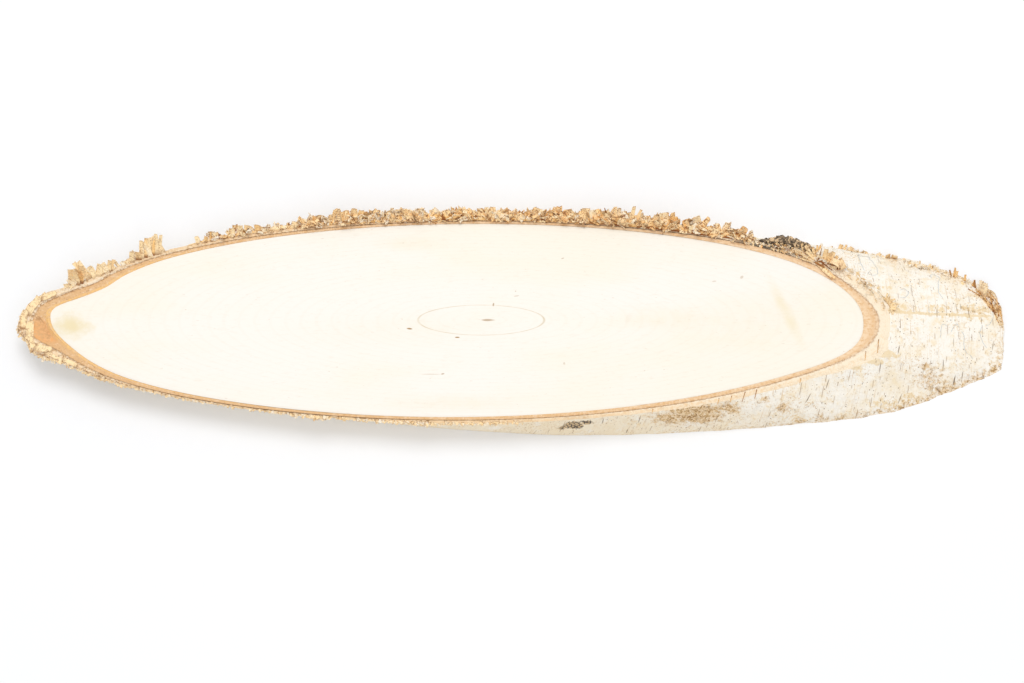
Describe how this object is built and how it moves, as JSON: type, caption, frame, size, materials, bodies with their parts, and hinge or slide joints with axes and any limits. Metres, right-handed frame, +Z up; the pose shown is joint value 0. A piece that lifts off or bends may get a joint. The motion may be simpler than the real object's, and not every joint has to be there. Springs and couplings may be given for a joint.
{
  "type": "birch wood slice",
  "caption": "Long oval slice of a young birch trunk, sawn at a low slant, with its brown inner bark and a pale papery outer bark torn into curls along one rim.",
  "frame": {"origin": "centre of the bounding box, at the lower sawn face that the slice lies on", "axes": "+X along the slice, towards the end where the bark slopes down and its outside shows; +Y across it, towards the rim with the torn curls; +Z up, out of the upper sawn face"},
  "size_m": [0.5539, 0.1283, 0.0288],
  "materials": {
    "sapwood": "sanded, unfinished",
    "bast": "sawn, fibrous",
    "paper_bark": "papery, matt"
  },
  "bodies": {
    "root": {"wood": "sapwood", "inner_bark": "bast", "outer_bark": "paper_bark"}
  },
  "joints": []
}
